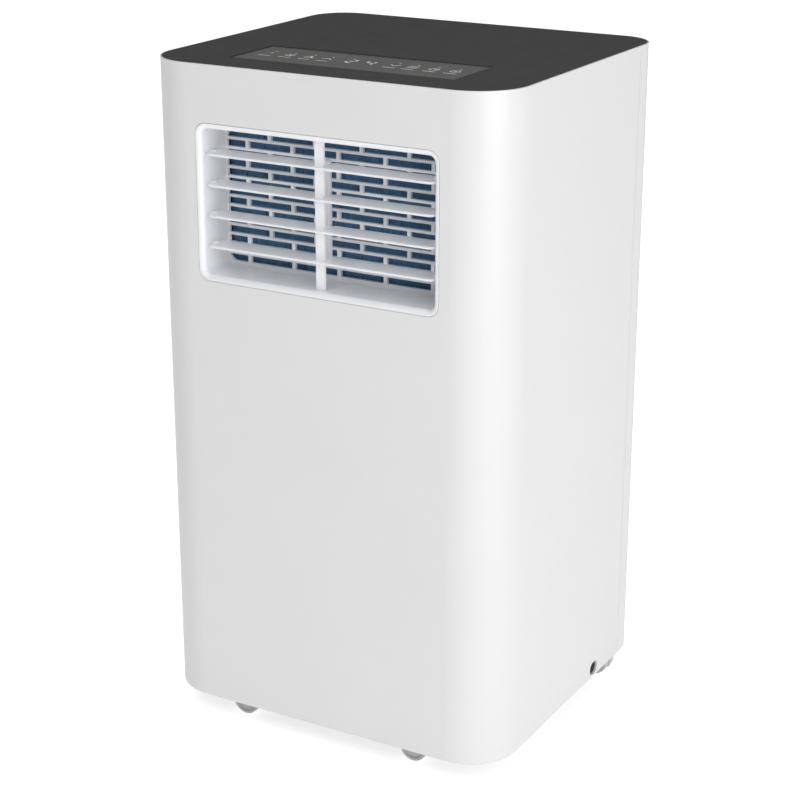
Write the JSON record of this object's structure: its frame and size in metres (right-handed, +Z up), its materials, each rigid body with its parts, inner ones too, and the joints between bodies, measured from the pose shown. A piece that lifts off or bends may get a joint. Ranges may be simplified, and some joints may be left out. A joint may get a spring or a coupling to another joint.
{
  "type": "portable air conditioner",
  "caption": "Upright white cabinet air conditioner with a dark touch-panel top, louvred front outlet, rear filters, exhaust collar and swivel casters.",
  "frame": {"origin": "on the floor, under the middle of the cabinet", "axes": "+Z up, the front with the louvred outlet faces -Y, +X is to the right when the front is looked at"},
  "size_m": [0.35, 0.316, 0.622],
  "materials": {
    "cabinet_white": "satin white moulding",
    "cover_grey": "matte dark grey",
    "panel_grey": "glossy overlay over touch keys",
    "display_black": "smoked window",
    "board_green": "solder mask",
    "pan_grey": "moulded, fine texture",
    "deck_grey": "moulded, fine texture",
    "foam_grey": "expanded foam, beaded",
    "rubber_black": "matte",
    "gland_grey": "moulded",
    "galvanised": "galvanised spangle",
    "screw_steel": "zinc plated",
    "filter_white": "moulded frame and mesh",
    "outlet_white": "satin white moulding",
    "seal_foam": "closed-cell foam",
    "fin_blue": "blue hydrophilic coating",
    "fin_aluminium": "bare",
    "copper": "drawn copper",
    "fan_black": "moulded",
    "motor_grey": "pressed steel",
    "compressor_black": "black enamel",
    "collar_grey": "moulded",
    "capacitor_silver": "drawn can",
    "caster_yoke": "moulded nylon",
    "caster_wheel": "moulded nylon"
  },
  "bodies": {
    "housing": {"front_shell": "cabinet_white", "rear_shell": "cabinet_white", "rear_screws": "screw_steel", "top_cover": "cover_grey", "control_panel": "panel_grey", "display_module": "display_black", "control_board": "board_green", "base_pan": "pan_grey", "cord_gland": "gland_grey", "deck": "deck_grey", "frame_posts": "galvanised", "outlet_frame": "outlet_white", "outlet_screws": "screw_steel", "centre_bar": "outlet_white", "outlet_guard": "outlet_white", "evaporator_seal": "seal_foam", "evaporator_fins": "fin_blue", "evaporator_tube": "copper", "drip_tray": "foam_grey", "blower_plenum": "foam_grey", "blower_scroll": "foam_grey", "blower_motor": "motor_grey", "blower_motor_bracket": "galvanised", "condenser_fins": "fin_aluminium", "condenser_tube": "copper", "condenser_scroll": "deck_grey", "condenser_motor": "motor_grey", "exhaust_duct": "deck_grey", "exhaust_collar": "collar_grey", "compressor": "compressor_black", "accumulator": "compressor_black", "compressor_mounts": "rubber_black", "compressor_bolts": "screw_steel", "discharge_pipe": "copper", "liquid_pipe": "copper", "suction_pipe": "copper", "electrical_box": "galvanised", "electrical_cover": "galvanised", "power_board": "board_green", "run_capacitor": "capacitor_silver"},
    "louvre_1": {"louvre_1": "outlet_white"},
    "louvre_2": {"louvre_2": "outlet_white"},
    "louvre_3": {"louvre_3": "outlet_white"},
    "louvre_4": {"louvre_4": "outlet_white"},
    "louvre_link": {"louvre_link": "outlet_white"},
    "blower_rotor": {"blower_wheel": "fan_black", "blower_shaft": "screw_steel"},
    "condenser_rotor": {"condenser_wheel": "fan_black", "condenser_shaft": "screw_steel"},
    "upper_filter": {"upper_filter": "filter_white"},
    "lower_filter": {"lower_filter": "filter_white"},
    "drain_cap": {"drain_cap": "rubber_black"},
    "caster_front_left_swivel": {"caster_front_left_yoke": "caster_yoke"},
    "caster_front_left_wheel_pair": {"caster_front_left_wheels": "caster_wheel"},
    "caster_front_right_swivel": {"caster_front_right_yoke": "caster_yoke"},
    "caster_front_right_wheel_pair": {"caster_front_right_wheels": "caster_wheel"},
    "caster_rear_left_swivel": {"caster_rear_left_yoke": "caster_yoke"},
    "caster_rear_left_wheel_pair": {"caster_rear_left_wheels": "caster_wheel"},
    "caster_rear_right_swivel": {"caster_rear_right_yoke": "caster_yoke"},
    "caster_rear_right_wheel_pair": {"caster_rear_right_wheels": "caster_wheel"}
  },
  "joints": [
    {"name": "louvre_1_tilt", "type": "hinge", "parent": "housing", "child": "louvre_1", "pos_m": [0, -0.14415, 0.5441], "axis": [1, 0, 0], "range_deg": [-35, 35]},
    {"name": "louvre_2_tilt", "type": "hinge", "parent": "housing", "child": "louvre_2", "pos_m": [0, -0.14415, 0.517], "axis": [1, 0, 0], "range_deg": [-35, 35]},
    {"name": "louvre_3_tilt", "type": "hinge", "parent": "housing", "child": "louvre_3", "pos_m": [0, -0.14415, 0.4899], "axis": [1, 0, 0], "range_deg": [-35, 35]},
    {"name": "louvre_4_tilt", "type": "hinge", "parent": "housing", "child": "louvre_4", "pos_m": [0, -0.14415, 0.4628], "axis": [1, 0, 0], "range_deg": [-35, 35]},
    {"name": "louvre_link_pivot", "type": "hinge", "parent": "louvre_1", "child": "louvre_link", "pos_m": [0, -0.1349, 0.5441], "axis": [1, 0, 0], "range_deg": [-35, 35]},
    {"name": "blower_spin", "type": "hinge", "parent": "housing", "child": "blower_rotor", "pos_m": [0, 0.024, 0.50225], "axis": [1, 0, 0], "continuous": true},
    {"name": "condenser_fan_spin", "type": "hinge", "parent": "housing", "child": "condenser_rotor", "pos_m": [-0.0255, 0.083, 0.14], "axis": [0, 1, 0], "continuous": true},
    {"name": "upper_filter_pull", "type": "slide", "parent": "housing", "child": "upper_filter", "axis": [0, 1, 0], "range_m": [0, 0.08]},
    {"name": "lower_filter_pull", "type": "slide", "parent": "housing", "child": "lower_filter", "axis": [0, 1, 0], "range_m": [0, 0.08]},
    {"name": "drain_cap_pull", "type": "slide", "parent": "housing", "child": "drain_cap", "axis": [0, 1, 0], "range_m": [0, 0.03]},
    {"name": "caster_front_left_swivel", "type": "hinge", "parent": "housing", "child": "caster_front_left_swivel", "pos_m": [-0.091, -0.124, 0.04], "axis": [0, 0, 1], "continuous": true},
    {"name": "caster_front_left_roll", "type": "hinge", "parent": "caster_front_left_swivel", "child": "caster_front_left_wheel_pair", "pos_m": [-0.1, -0.124, 0.013], "axis": [0, 1, 0], "continuous": true},
    {"name": "caster_front_right_swivel", "type": "hinge", "parent": "housing", "child": "caster_front_right_swivel", "pos_m": [0.091, -0.124, 0.04], "axis": [0, 0, 1], "continuous": true},
    {"name": "caster_front_right_roll", "type": "hinge", "parent": "caster_front_right_swivel", "child": "caster_front_right_wheel_pair", "pos_m": [0.082, -0.124, 0.013], "axis": [0, 1, 0], "continuous": true},
    {"name": "caster_rear_left_swivel", "type": "hinge", "parent": "housing", "child": "caster_rear_left_swivel", "pos_m": [-0.1445, 0.115, 0.04], "axis": [0, 0, 1], "continuous": true},
    {"name": "caster_rear_left_roll", "type": "hinge", "parent": "caster_rear_left_swivel", "child": "caster_rear_left_wheel_pair", "pos_m": [-0.1535, 0.115, 0.013], "axis": [0, 1, 0], "continuous": true},
    {"name": "caster_rear_right_swivel", "type": "hinge", "parent": "housing", "child": "caster_rear_right_swivel", "pos_m": [0.1445, 0.115, 0.04], "axis": [0, 0, 1], "continuous": true},
    {"name": "caster_rear_right_roll", "type": "hinge", "parent": "caster_rear_right_swivel", "child": "caster_rear_right_wheel_pair", "pos_m": [0.1535, 0.115, 0.013], "axis": [0, 1, 0], "continuous": true}
  ],
  "couplings": [
    {"joint": "louvre_2_tilt", "follows": "louvre_1_tilt", "ratio": 1},
    {"joint": "louvre_3_tilt", "follows": "louvre_1_tilt", "ratio": 1},
    {"joint": "louvre_4_tilt", "follows": "louvre_1_tilt", "ratio": 1},
    {"joint": "louvre_link_pivot", "follows": "louvre_1_tilt", "ratio": -1}
  ]
}
